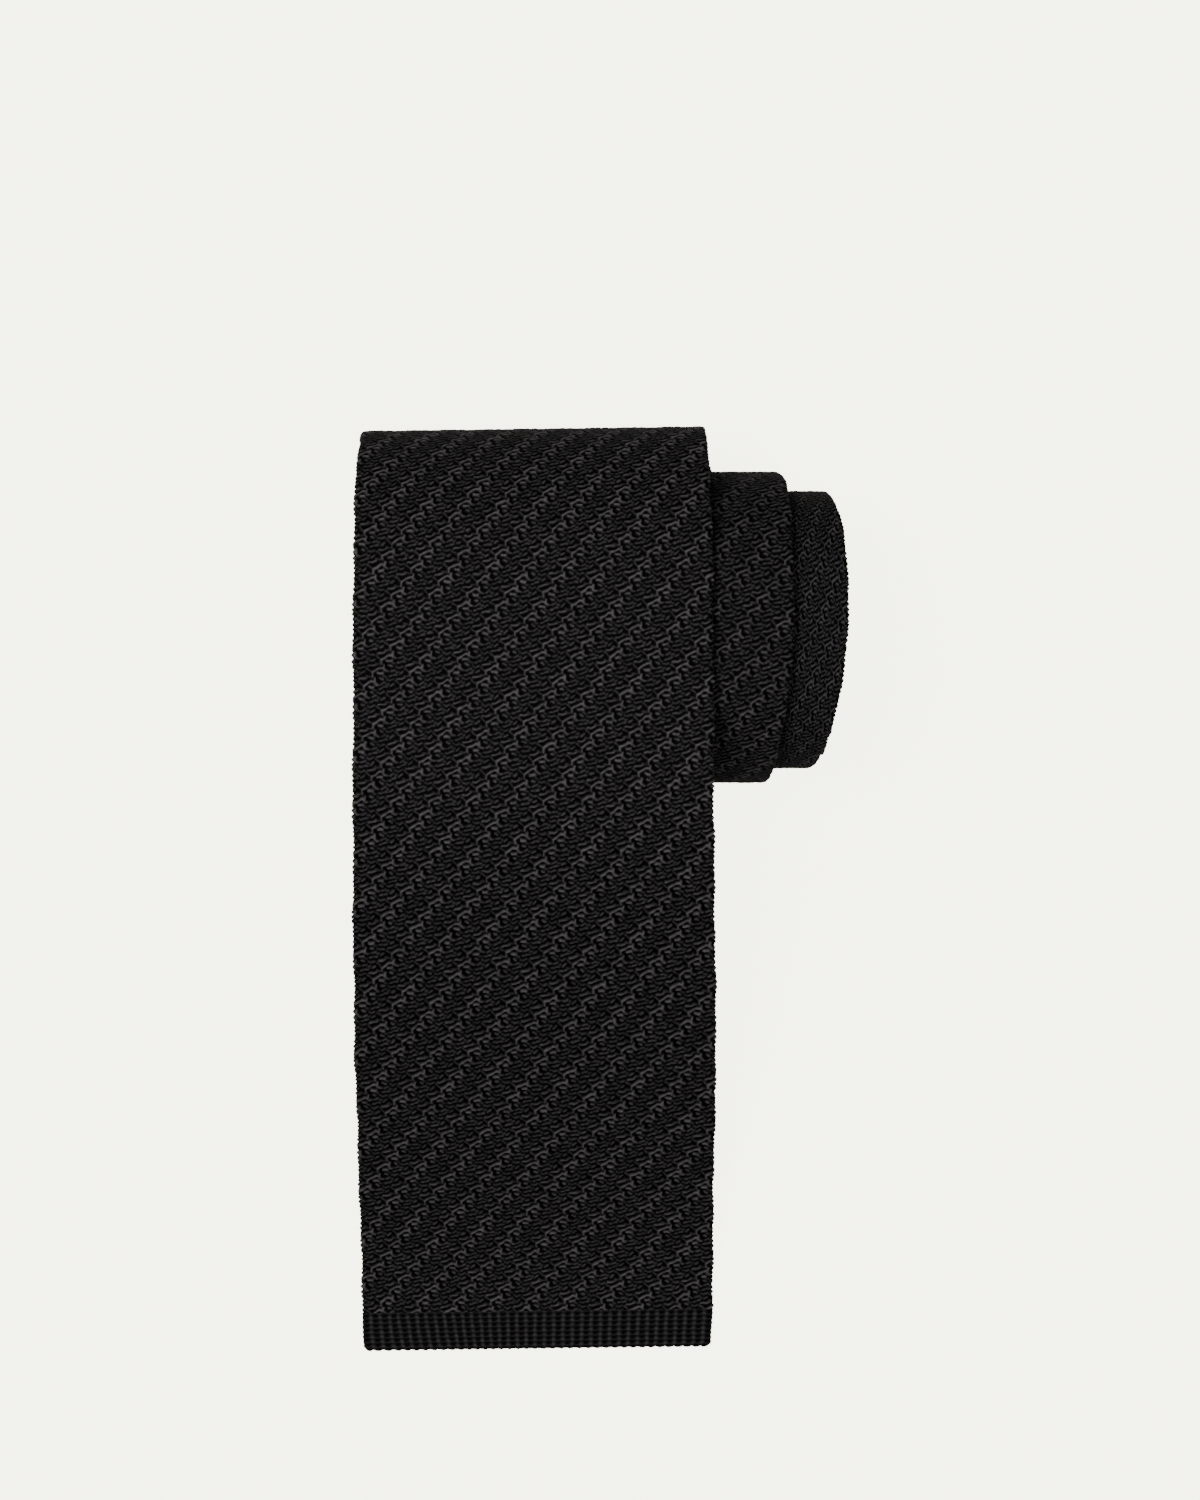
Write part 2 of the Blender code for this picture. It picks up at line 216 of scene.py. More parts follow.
# %% Course numbers and side edges along the strip
COURSE_PITCH = np.array([
    # distance from the tip, course pitch, both in mm
    (0, 1.10), (20, 1.11), (30, 1.12), (45, 1.16), (60, 1.22), (90, 1.31), (118, 1.24),
    (140, 1.16), (165, 1.14), (190, 1.14), (1500, 1.14),
]) * MM
EDGE_GIVE = np.array([
    # distance from the tip, then how far the left and right edges stand out, in mm
    (0, -0.9, 0.1), (9, -0.7, 0.6), (25, -0.4, 0.5), (50, -0.1, 0.7), (75, 0.2, 0.9),
    (105, 0.0, 0.4), (135, -0.4, -0.1), (190, -0.5, -0.4), (212, -0.8, -1.0),
    (222, -1.2, -1.5), (235, -1.6, -1.9), (260, -0.8, -0.9), (330, -0.3, -0.3),
]) * MM
EDGE_GIVE = np.vstack([EDGE_GIVE] + [
    (run_at_turn(turn) + past * MM, 0, right * MM) for turn, past, right in (
        # turns into the roll, mm past that place, then the right edge again, in mm
        (0.75, 0, -0.6), (0.87, 0, -1.4), (0.94, 0, -0.6), (1.0, 0, 0.3), (1.0, 10, 0.7),
        (1.0, 19, 0.6), (1.1, 0, 0.2), (1.18, 0, -0.9), (1.25, 0, -2.4), (1.4, 0, -1.0),
        (1.6, 0, -1.0), (1.75, 0, -4.2), (1.82, 0, -3.8), (1.92, 0, -2.4), (2.0, 0, -1.0),
        (2.0, 10, 0.1), (2.0, 19, 0.0), (2.1, 0, -1.2), (2.15, 0, -2.4), (2.2, 0, -3.6),
        (2.25, 0, -4.6), (2.5, 0, -3.4), (2.75, 0, -5.0), (3.0, 0, -3.2), (3.25, 0, -3.4),
        (3.75, 0, -4.6), (4.0, 0, -3.2), (9.0, 0, -3.0),
    )
])
COURSE_SAMPLES = 4000
run_samples = np.linspace(0, CLOTH_END, COURSE_SAMPLES)
pitches = np.interp(run_samples, *COURSE_PITCH.T)
course_samples = np.append(0, np.cumsum(np.diff(run_samples) / pitches[1:]))


def course_at(run):
    """Course number at distances from the tip."""
    return np.interp(run, run_samples, course_samples)


print(f"{course_at(CLOTH_END):.0f} courses from tip to tip")


# %% The strip's edges, rippled a little, and its slant
RIPPLES = ((0.10 * MM, 5.3 * MM), (0.07 * MM, 1.9 * MM))
SLANT = 0.0135
SLANT_TURNS = (0.3, 0.7)


def half_widths(run, turn):
    """Distances from the strip's middle to its left and right edges."""
    half = cloth_width(turn) / 2
    ripple = sum(size * np.sin(run / length) for size, length in RIPPLES)
    left, right = (np.interp(run, EDGE_GIVE[:, 0], EDGE_GIVE[:, side]) for side in (1, 2))
    return half + left + ripple, half + right - ripple


def askew(turn):
    """How far the outer cloth slants: its right side lies a little further along than its left."""
    return SLANT * (1 - ease(turn, SLANT_TURNS))


print(f"{1000 * sum(half_widths(100 * MM, 0)):.1f} mm wide at 100 mm from the tip")

# %% [markdown]
# ## The stitch pattern
#
# The face of the knit is a relief of short, round lengths of yarn. A column of stitches is called a
# wale, as a row is called a course. Ten courses make one repeat: a plump dome with a thick strand
# arched over it, and below the dome a few flatter bars that tilt up to the right. The next wale to
# the right holds the same repeat a quarter of it higher, so the arches join into raised diagonal
# ridges, and these are what the eye sees first on the tie.
#
# A relief could be painted into a bump map, but then the edges of the tie would stay smooth. Here
# it is real shape. Each length of yarn is a line with a radius and a height, and the surface at
# any place is as high as the highest yarn over it. Slow waves of different lengths shift the yarns
# about a little, so that no two repeats are quite alike.

# %% Lengths of yarn in one repeat, in wales across and courses along
WALES = 38
WALE = BLADE_WIDTH / WALES
COURSE = 1.136 * MM
REPEAT = 10.0
STEP_UP = 2.5
YARNS = (
    # left end, right end, radius in mm, height
    ((-0.22, 0.02), (0.20, 0.00), 0.55, 0.97),
    ((0.26, -0.40), (0.54, -0.66), 0.40, 0.64),
    ((-0.04, -0.92), (0.22, -1.14), 0.48, 0.82),
    ((0.08, -2.08), (0.50, -1.74), 0.44, 0.72),
    ((-0.12, -2.97), (0.12, -2.90), 0.44, 0.72),
    ((0.34, -2.74), (0.66, -2.66), 0.44, 0.74),
    ((-0.34, -3.62), (-0.04, -3.92), 0.41, 0.64),
    ((-0.04, -3.92), (0.34, -3.62), 0.43, 0.68),
    ((0.56, -3.92), (0.90, -4.46), 0.41, 0.66),
    ((-0.36, -4.62), (-0.18, -4.58), 0.43, 0.68),
    ((0.02, -5.02), (0.34, -4.60), 0.45, 0.74),
    ((0.52, -5.36), (0.86, -5.58), 0.41, 0.62),
    ((-0.25, -5.98), (0.18, -5.96), 0.46, 0.84),
    ((0.18, -5.96), (0.52, -5.74), 0.44, 0.82),
    ((-0.52, -2.00), (-0.24, -2.12), 0.46, 0.78),
    ((-0.66, -1.74), (-0.60, -0.88), 0.46, 0.92),
    ((-0.86, -0.50), (-0.88, 0.16), 0.45, 0.84),
    ((-0.88, 0.28), (-0.46, 0.66), 0.49, 0.96),
    ((-0.42, 0.73), (-0.07, 1.12), 0.46, 0.89),
    ((-0.02, 1.17), (0.27, 1.10), 0.50, 0.98),
    ((0.34, 0.96), (0.62, 0.38), 0.44, 0.82),
)
print(f"{len(YARNS)} lengths of yarn in a repeat, {WALES} wales of {WALE / MM:.2f} mm")

# %% How high the fancy knit stands at a place on the strip
# Towards the neck the cloth is knitted finer and its ridges sink into it.
CALM = course_at(run_at_turn(0.4)), course_at(run_at_turn(1.3))
CALM_SHARE = 0.75
CALM_ABOVE = 0.74
YARN_ROUNDNESS = 1.2


def wobble(across, along, seed):
    """A slow, smooth unevenness between -1 and 1, the same on every run."""
    first = np.sin(1.31 * across + 0.83 * along + 2.1 * seed)
    second = np.sin(-0.97 * across + 1.47 * along + 4.3 * seed)
    third = np.sin(2.33 * across - 0.41 * along + 1.7 * seed)
    return (first + second + third) / 3


def diagonal_relief(wale, course):
    """Height of the fancy knit, from 0 in its holes to about 1 on the ridges."""
    even_wale = wale
    even_course = course
    wale = wale + 0.07 * wobble(wale, course, 1) + 0.06 * wobble(2.9 * wale, 1.7 * course, 5)
    course = course + 0.16 * wobble(even_wale, course, 2)
    course = course + 0.13 * wobble(3.3 * even_wale, 1.3 * even_course, 6)
    calm = CALM_SHARE * ease(even_course, CALM)
    highest = np.zeros_like(wale)
    nearest = np.round(wale)
    for neighbour in (-1, 0, 1, 2):
        across = (wale - nearest - neighbour) * WALE
        lifted = course - STEP_UP * (nearest + neighbour)
        for (left, low), (right, high), radius, height in YARNS:
            dx, dy = (right - left) * WALE, (high - low) * COURSE
            x = across - (left + right) / 2 * WALE
            off = lifted - (low + high) / 2 + REPEAT / 2
            y = (off - REPEAT * np.floor(off / REPEAT) - REPEAT / 2) * COURSE
            nearest_on_line = np.clip((x * dx + y * dy) / (dx * dx + dy * dy), -0.5, 0.5)
            squared_gap = (x - nearest_on_line * dx) ** 2 + (y - nearest_on_line * dy) ** 2
            rounded = np.clip(1 - squared_gap / (radius * MM) ** 2, 0, None) ** YARN_ROUNDNESS
            sunk = calm * max(height - CALM_ABOVE, 0)
            highest = np.maximum(highest, (height - sunk) * rounded)
    uneven = 0.10 * wobble(0.7 * even_wale, 0.6 * even_course, 3)
    uneven = uneven + 0.14 * wobble(4.1 * even_wale, 2.3 * even_course, 4)
    return highest * (1 + uneven)


# %% How high the plain hem stands
def rib_relief(wale, course):
    """Height of the plain hem: upright ribs with sagging bars between them."""
    middle = 0.5 - 0.5 * np.cos(2 * np.pi * wale)
    rib = np.clip(1 - (2.3 * (wale - np.round(wale))) ** 2, 0, None) ** 1.5
    sag = course + 0.20 * middle
    bar = (0.5 + 0.5 * np.cos(2 * np.pi * sag)) ** 1.3
    knot = 0.80 + 0.20 * np.cos(2 * np.pi * course)
    uneven = 1 + 0.16 * wobble(3.7 * wale, 2.1 * course, 7)
    return np.maximum(rib * knot, (0.80 - 0.16 * middle) * bar) * uneven


# %% [markdown]
# ## Folding a flat grid into a tube of cloth
#
# Every piece of this tie is a band that closes round on itself: the knitted panel folded to the
# back, a hem, a twisted thread, a label. So one way of making them serves for all. A flat grid
# gives the rows and columns. Its columns are led round the band's section and its rows along the
# route, its two long edges are merged where they meet, and each open end is filled. That leaves a
# closed shape with real thickness.
#
# The columns are counted in wales from the middle of the front: 0 to 19 across the front and round
# the fold, and 19 to 38 back to the seam. They are set close together where the cloth is seen and
# further apart where it is rolled in.

# %% The band's section: a front, two rounded folds and a back
# These places round the section are in wales from the middle of the front.
FOLD_FROM = 18.6
FOLD_TO = 19.4
GROOVE_FROM = 37.7
BACK_MIDDLE = 38.0
SEEN_ALL = (-FOLD_FROM, FOLD_FROM)

GROOVE_FLOOR = -0.12 * MM
GROOVE_SIDE = 0.95 * MM
PLAIN_SIDE = 0.3 * MM
GROOVE_COLUMNS = 7


def column_marks(seen=SEEN_ALL, fine=7, coarse=2, back=2.5, fold=8):
    """Where the columns stand, in wales: fine where seen, coarse elsewhere on the front."""
    low, high = seen
    spans = [
        (-BACK_MIDDLE, -GROOVE_FROM, GROOVE_COLUMNS), (-GROOVE_FROM, -FOLD_TO, back),
        (-FOLD_TO, -FOLD_FROM, fold), (-FOLD_FROM, low, coarse), (low, high, fine),
        (high, FOLD_FROM, coarse), (FOLD_FROM, FOLD_TO, fold), (FOLD_TO, GROOVE_FROM, back),
        (GROOVE_FROM, BACK_MIDDLE, GROOVE_COLUMNS),
    ]
    marks = [np.array([-BACK_MIDDLE])]
    for begin, end, per_wale in spans:
        if end > begin:
            count = max(1, round((end - begin) * per_wale))
            marks.append(np.linspace(begin, end, count + 1)[1:])
    return np.concatenate(marks)


def section(marks, left, right, core, groove):
    """Across and rise of each column for a smooth band, and the way its surface faces."""
    side, wale = np.sign(marks), np.abs(marks)
    half = np.where(side < 0, left, right) - core
    turned = math.pi * np.clip((wale - FOLD_FROM) / (FOLD_TO - FOLD_FROM), 0, 1)
    home = np.clip((wale - FOLD_TO) / (GROOVE_FROM - FOLD_TO), 0, 1)
    into = np.clip((wale - GROOVE_FROM) / (BACK_MIDDLE - GROOVE_FROM), 0, 1)
    meet = GROOVE_SIDE if groove else PLAIN_SIDE
    across = np.minimum(wale / FOLD_FROM, 1) * half + core * np.sin(turned)
    across = (across - home * (half - meet)) * (1 - into)
    rise = core * np.cos(turned)
    if groove:
        rise = rise + (GROOVE_FLOOR + core) * np.minimum(2 * into, 1)
    return side * across, rise, side * np.sin(turned), np.cos(turned)


# %% Wrap a grid round the section and close it
def wrapped_grid(name, places, yarn, wales, courses):
    """A closed, named object from rows and columns of places. UV counts the stitches."""
    rows, columns = yarn.shape
    bm = bmesh.new()
    bm.loops.layers.uv.new("stitches")
    depth = bm.verts.layers.float.new("yarn")
    bmesh.ops.create_grid(
        bm, x_segments=columns - 1, y_segments=rows - 1, size=0.5, calc_uvs=True
    )
    spots = places.reshape(-1, 3).tolist()
    for vert, spot, height in zip(bm.verts, spots, yarn.ravel().tolist()):
        vert.co = spot
        vert[depth] = height
    bm.verts.ensure_lookup_table()
    edges = [bm.verts[row * columns + end] for row in range(rows) for end in (0, columns - 1)]
    bmesh.ops.remove_doubles(bm, verts=edges, dist=0.001 * MM)
    open_edges = [edge for edge in bm.edges if edge.is_boundary]
    caps = bmesh.ops.holes_fill(bm, edges=open_edges, sides=0)["faces"]
    for cap in caps:
        for edge in cap.edges:
            edge.smooth = False
    bmesh.ops.triangulate(bm, faces=caps)
    bmesh.ops.recalc_face_normals(bm, faces=bm.faces)
    mesh = bpy.data.meshes.new(name)
    bm.to_mesh(mesh)
    bm.free()
    mesh.shade_smooth()
    corners = np.empty(2 * len(mesh.loops))
    uv = mesh.uv_layers["stitches"].uv
    uv.foreach_get("vector", corners)
    corners[0::2] = np.interp(corners[0::2] * (columns - 1), np.arange(columns), wales)
    corners[1::2] = np.interp(corners[1::2] * (rows - 1), np.arange(rows), courses)
    uv.foreach_set("vector", corners)
    piece = bpy.data.objects.new(name, mesh)
    bpy.context.scene.collection.objects.link(piece)
    return piece


# %% Lay a band along the route
RELIEF_FADE = 0.5


def swept_band(name, runs, marks, left, right, core, relief=None, depth=0.0, middle=0.0,
               rise=0.0, groove=False, thin=1.0, recess=None):
    """A band along the route. runs holds a distance from the tip for each row and column.

    The relief fades out at the groove of the seam, and beyond the wales given as recess.
    """
    y, z, out_y, out_z, turn = route_at(runs)
    across, lift, face_x, face_rise = section(marks, left, right, core, groove)
    courses = course_at(runs)
    yarn = np.zeros(runs.shape) if relief is None else relief(marks + 0 * runs, courses)
    fade = np.clip((GROOVE_FROM - np.abs(marks)) / RELIEF_FADE, 0, 1) if groove else 1.0
    if recess is not None:
        fade = fade * (1 - ease(np.abs(marks), recess))
    proud = depth * yarn * fade * thin
    across = across + face_x * proud
    lift = rise + thin * lift + face_rise * proud
    x = cloth_centre(turn) + middle + across
    places = np.stack([x, y + lift * out_y + askew(turn) * x, z + lift * out_z], axis=-1)
    return wrapped_grid(name, places, yarn, marks, courses[:, 0])

# %% [markdown]
# ## The knitted strip, in lengths cut at the joints
#
# In the model the wrap opens away from the roll, the blade lifts off the crown and its end curls.
# The cloth bends at each of those places and is carried along elsewhere. So the strip is made in
# lengths: a length either rides on one body or lies across the bend between two, where it is only
# fixed in place, and the cuts lie where the bend has died out. Neighbouring lengths share the same
# edge of stitches, so no gap shows between them.

# %% Cut places, motions and fineness of each length
RELIEF = 0.46 * MM
CORE = HALF_CLOTH - RELIEF
# Two bodies, and the points between which the cloth bends from the one to the other.
BLEND_FAR = ("roll", "wrap", (0, 0.04456, 0.020), (0, 0.04456, 0.0455))
BLEND_LIFT = ("wrap", "blade", (0, -0.0025, 0.055), (0, -0.0205, 0.055))
BLEND_CURL = ("blade", "blade_tip", (0, -0.0690, 0.0420), (0, -0.0870, 0.0320))
CURL_START = 0.058
LIFT_START = 0.115
CROWN_START = run_at_turn(0) - 0.010
TAPE_RECESS = (30.5, 31.5)

Length = namedtuple("Length", "name start end motion nodes seen per_course coarse back")
LENGTHS = [Length(*row) for row in (
    # motion is one body or a bend, and nodes are the CAD nodes that the length stands for.
    # The seen wales get fine columns. Then come the rows to a course, and the columns to a wale on
    # the rest of the front and on the back.
    ("blade_end", HEM_DEPTH, CURL_START, ("blade_tip",), ("blade_lower",), SEEN_ALL, 5, 7, 2.5),
    ("blade_bend", CURL_START, LIFT_START, BLEND_CURL, ("blade_lower", "blade_upper"),
     SEEN_ALL, 5, 7, 2.5),
    ("blade_top", LIFT_START, CROWN_START, BLEND_LIFT, ("blade_upper", "wrap_front"),
     SEEN_ALL, 5, 7, 2.5),
    ("crown", CROWN_START, run_at_turn(0.125), ("wrap",), ("wrap_front",),
     SEEN_ALL, 5, 7, 2.5),
    ("far_bend", run_at_turn(0.125), run_at_turn(0.3125), BLEND_FAR, ("wrap_front", "outer_turn"),
     SEEN_ALL, 5, 7, 2.5),
    ("underside", run_at_turn(0.3125), run_at_turn(0.75), ("roll",), ("outer_turn",),
     SEEN_ALL, 3, 3, 2),
    ("second_turn_top", run_at_turn(0.75), run_at_turn(1.25), ("roll",), ("second_turn",),
     (8.5, FOLD_FROM), 5, 2, 2),
    ("second_turn_under", run_at_turn(1.25), run_at_turn(1.75), ("roll",), ("second_turn",),
     (8.5, FOLD_FROM), 3, 1.5, 1),
    ("third_turn_top", run_at_turn(1.75), run_at_turn(2.25), ("roll",), ("neck_taper",),
     (4.0, FOLD_FROM), 5, 2, 1.5),
    ("third_turn_under", run_at_turn(2.25), run_at_turn(2.75), ("roll",), ("neck_taper",),
     (12.0, FOLD_FROM), 3, 1.5, 1),
    ("rolled_neck", run_at_turn(2.75), run_at_turn(6.75), ("roll",), ("neck_coil",),
     (17.0, FOLD_FROM), 2, 0.8, 0.8),
    ("rolled_tail", run_at_turn(6.75), CLOTH_END - HEM_DEPTH, ("roll",), ("tail_coil",),
     (17.0, FOLD_FROM), 2, 0.8, 0.8),
)]


def follow(piece, motion):
    """Let a piece ride on one body. A piece across a bend between two is only fixed in place."""
    if len(motion) == 1:
        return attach(piece, motion[0])
    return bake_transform(piece)


def row_runs(start, end, per_course, columns):
    """A distance from the tip for each row and column, a few rows to a course."""
    count = max(2, round(float(course_at(end) - course_at(start)) * per_course) + 1)
    return np.linspace(start, end, count)[:, None] + np.zeros(columns)


# %% Make the lengths of knit
knit_lengths = []
for cloth in LENGTHS:
    marks = column_marks(
        cloth.seen, coarse=cloth.coarse, back=cloth.back, fold=8 if cloth.per_course > 2 else 5
    )
    runs = row_runs(cloth.start, cloth.end, cloth.per_course, len(marks))
    left, right = half_widths(runs, route_at(runs)[4])
    piece = swept_band(
        cloth.name + "_knit", runs, marks, left, right, CORE, diagonal_relief, RELIEF, groove=True,
        recess=TAPE_RECESS if cloth.name == "rolled_neck" else None,
    )
    follow(piece, cloth.motion)
    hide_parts(*cloth.nodes)
    width = float(np.mean(left[:, 0] + right[:, 0]))
    length = cloth.end - cloth.start
    knit_lengths.append((piece, width, length))
    print(f"{piece.name}: {2 * len(piece.data.polygons)} triangles, {1000 * length:.0f} mm")

# %% [markdown]
# ## The hems
#
# Both ends of the strip finish in a plain ribbed band, a little thinner than the fancy knit.
# Upright ribs stand between sagging bars, like small ladders, and the last course is bound off,
# which draws each rib out into a tiny scallop. The band's tip is rounded by thinning its last rows.
# Near the left corner the ribs lean inwards, because the corner has been pulled narrower.

# %% Make a hem from its tip inwards
HEM_RELIEF = 0.34 * MM
HEM_CORE = HEM_THICKNESS / 2 - HEM_RELIEF
HEM_RISE = HEM_THICKNESS / 2 - HALF_CLOTH
TIP_ROUND = 0.6 * MM
TIP_ROWS = (0, 0.08, 0.2, 0.38, 0.6, 0.8)
SCALLOP = 0.34 * MM
SCALLOP_DEPTH = 1.8 * MM
CORNER_DEPTH = 1.5 * MM
RIGHT_CORNER_SHARE = 1.5
# Wales from the middle of the front, then how far the ribs lean for their length.
LEAN = ((-19, 0.03), (-16, 0.13), (-9, 0.15), (-4, 0.04), (0, 0.0), (19, 0.0))


def hem_band(name, tip, inwards, motion, per_course, fine, corner_round):
    """A ribbed band from the strip's tip, which is at one end of the route or the other."""
    marks = column_marks(SEEN_ALL, fine=fine, coarse=fine, back=2, fold=8)
    tip_rows = TIP_ROUND * np.array(TIP_ROWS)
    body_rows = np.linspace(TIP_ROUND, HEM_DEPTH, round(8 * per_course))
    depth = np.concatenate([tip_rows, body_rows])[:, None]
    drawn_in = np.clip(1 - depth / SCALLOP_DEPTH, 0, 1)
    seen_as = np.sign(marks) * np.minimum(np.abs(marks), BACK_MIDDLE - np.abs(marks))
    runs = tip + inwards * (depth + SCALLOP * drawn_in * np.sin(math.pi * marks) ** 2)
    thin = np.sqrt(np.clip(1 - (1 - depth / TIP_ROUND).clip(0) ** 2, 0.02, 1))
    corner = 1 - np.sqrt(1 - (1 - depth / CORNER_DEPTH).clip(0) ** 2)
    left, right = half_widths(runs, route_at(runs)[4])
    lean = np.interp(seen_as, *np.array(LEAN).T) * (HEM_DEPTH - depth) * (inwards > 0)
    piece = swept_band(
        name, runs, marks, left - corner_round * corner,
        right - RIGHT_CORNER_SHARE * corner_round * corner,
        HEM_CORE, rib_relief, HEM_RELIEF, middle=lean, rise=HEM_RISE, thin=thin,
    )
    follow(piece, motion)
    print(f"{piece.name}: {2 * len(piece.data.polygons)} triangles")
    return piece


front_hem = hem_band(
    "blade_hem", 0.0, 1, ("blade_tip",), per_course=5, fine=8, corner_round=1.2 * MM
)
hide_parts("front_hem_band")
tail_hem = hem_band(
    "tail_hem", CLOTH_END, -1, ("roll",), per_course=3, fine=2, corner_round=0.8 * MM
)
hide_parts("tail_hem_band")

# %% [markdown]
# ## The seam down the back
#
# The folded edges of the panel meet in the middle of the back, and a twisted silk thread closes
# them. It lies in the groove between the edges. Each length of thread moves exactly as the knit
# around it does, so it never leaves its groove. In the neck a woven tape covers the seam instead:
# it keeps the knit from stretching when the tie is knotted.

# %% Lay the seam thread
BACK = -HALF_CLOTH
THREAD_HALF_WIDTH = 0.58 * MM
THREAD_HALF_HEIGHT = 0.35 * MM
THREAD_RELIEF = 0.11 * MM
THREAD_RISE = 0.36 * MM
TWISTS = 1.3
right_marks = np.array([9, FOLD_FROM, WALES / 2, FOLD_TO, 28, BACK_MIDDLE])
THREAD_MARKS = np.concatenate([-right_marks[::-1], [0], right_marks])
END_GAP = 0.6 * MM
SEAM_NODES = {
    "blade_end": ("tip_back_seam",), "blade_bend": ("tip_back_seam", "blade_back_seam"),
    "blade_top": ("blade_back_seam", "wrap_back_seam"), "crown": ("wrap_back_seam",),
    "far_bend": ("wrap_back_seam", "roll_back_seam"), "underside": ("roll_back_seam",),
    "second_turn_top": ("roll_back_seam",), "second_turn_under": ("roll_back_seam",),
    "third_turn_top": ("roll_back_seam",), "third_turn_under": ("roll_back_seam",),
    "rolled_tail": ("tail_back_seam",),
}


def twist(wale, course):
    """Two plies wound round each other, once in every course and a half."""
    return 0.5 + 0.5 * np.cos(2 * np.pi * (TWISTS * course + wale / BACK_MIDDLE))


seam_threads = []
for cloth in LENGTHS:
    if cloth.name not in SEAM_NODES:
        continue
    start = cloth.start + (END_GAP if cloth.name in ("blade_end", "rolled_tail") else 0)
    end = cloth.end - (END_GAP if cloth.name in ("third_turn_under", "rolled_tail") else 0)
    runs = row_runs(start, end, cloth.per_course, len(THREAD_MARKS))
    half = THREAD_HALF_WIDTH - THREAD_RELIEF
    thread = swept_band(
        cloth.name + "_seam_thread", runs, THREAD_MARKS, half, half,
        THREAD_HALF_HEIGHT - THREAD_RELIEF, twist, THREAD_RELIEF, rise=BACK + THREAD_RISE,
    )
    follow(thread, cloth.motion)
    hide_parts(*SEAM_NODES[cloth.name])
    seam_threads.append(thread)
print(len(seam_threads), "lengths of seam thread laid")

# %% Lay the stay tape over the neck's seam
TAPE_WIDTH = 14.8 * MM
TAPE_THICKNESS = 0.4 * MM
tape_marks = column_marks(SEEN_ALL, fine=0.6, back=0.4, fold=4)
tape_runs = row_runs(run_at_turn(2.75) + END_GAP, run_at_turn(6.75) - END_GAP, 1, len(tape_marks))
tape = swept_band(
    "neck_tape", tape_runs, tape_marks, TAPE_WIDTH / 2, TAPE_WIDTH / 2, TAPE_THICKNESS / 2,
    rise=BACK + TAPE_THICKNESS / 2,
)
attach(tape, "roll")
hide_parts("neck_stay_tape")
print("stay tape laid,", round(1000 * float(np.ptp(tape_runs))), "mm long")

# %% [markdown]
# ## The keeper loop
#
# A knitted strap is sewn across the back of the blade, a little more than a hand's length above the
# tip, and the narrow end is slipped through it when the tie is worn. Its two feet lie on the cloth
# and its middle is raised to leave room. The strap runs across the tie, so here the rows of the
# grid step along X and the columns go round the strap's own section. Satin-stitched bars tack its
# ends down.

# %% Make the strap
SKIN = BACK - GAP
FAR_SIDE = run_at_turn(0.25)
LOOP_WIDTH = 12.0 * MM
LOOP_END = FAR_SIDE - 4.0 * MM
LOOP_START = LOOP_END - LOOP_WIDTH
LOOP_TOE = 34.5 * MM
LOOP_ROOM = (27.2 * MM, 29.8 * MM)
LOOP_DROP = 2.8 * MM
LOOP_HALF_THICKNESS = 0.5 * MM
LOOP_RELIEF = 0.18 * MM
LOOP_CORE = LOOP_HALF_THICKNESS - LOOP_RELIEF
LOOP_STEPS = 301
STRAP_WALE = 0.26
STRAP_COURSE = 1.2 * MM


def keeper_strap():
    """The strap, raised off the cloth between its feet."""
    marks = column_marks(SEEN_ALL, fine=1.9, back=1.9, fold=6)
    x = np.linspace(-LOOP_TOE, LOOP_TOE, LOOP_STEPS)[:, None]
    down = 1 - ease(np.abs(x), LOOP_ROOM)
    middle = SKIN - LOOP_HALF_THICKNESS - LOOP_DROP * down
    slope = np.gradient(middle[:, 0], x[:, 0])[:, None]
    half = LOOP_WIDTH / 2 - LOOP_RELIEF
    across, lift, face, face_up = section(marks, half, half, LOOP_CORE, False)
    strap_rib = rib_relief(STRAP_WALE * marks + 0 * x, x / STRAP_COURSE + 0 * marks)
    across = across + face * LOOP_RELIEF * strap_rib
    lift = lift + face_up * LOOP_RELIEF * strap_rib
    y, z, out_y, out_z, turn = route_at((LOOP_START + LOOP_END) / 2 + across)
    slant_length = np.sqrt(1 + slope ** 2)
    rise = middle + lift / slant_length
    leant_x = cloth_centre(turn) + x - lift * slope / slant_length
    places = np.stack([leant_x, y + rise * out_y, z + rise * out_z], axis=-1)
    return wrapped_grid(
        "keeper_strap", places, strap_rib, STRAP_WALE * marks, x[:, 0] / STRAP_COURSE
    )


keeper = keeper_strap()
follow(keeper, BLEND_FAR)
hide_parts("keeper_loop")
print("keeper strap", [round(1000 * size, 1) for size in keeper.dimensions])

# %% Tack its ends with bars of stitches
BAR_RELIEF = 0.07 * MM
BAR_ROWS = 20
STITCHES = 3.1


def stitch_bar(name, start, end, middle, half_width, thickness, node):
    """Close satin stitches over a bar, as ridges across it."""
    def satin(wale, course):
        return np.abs(np.cos(np.pi * STITCHES * course + 0.02 * wale))

    runs = row_runs(start, end, BAR_ROWS, len(THREAD_MARKS))
    half = half_width - BAR_RELIEF
    bar = swept_band(
        name, runs, THREAD_MARKS, half, half, thickness / 2 - BAR_RELIEF, satin, BAR_RELIEF,
        middle=middle, rise=SKIN - thickness / 2,
    )
    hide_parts(node)
    return bar


SIDES = (("left", -1), ("right", 1))
TACK_MIDDLE = LOOP_TOE + 0.8 * MM
stitch_bars = []
for name, side in SIDES:
    bar = stitch_bar(
        f"keeper_tack_bar_{name}", LOOP_START + GAP, LOOP_END - GAP, side * TACK_MIDDLE,
        0.5 * MM, 0.6 * MM, f"keeper_tack_{name}",
    )
    follow(bar, BLEND_FAR)
    stitch_bars.append(bar)
print(len(stitch_bars), "bars of stitches on the strap")

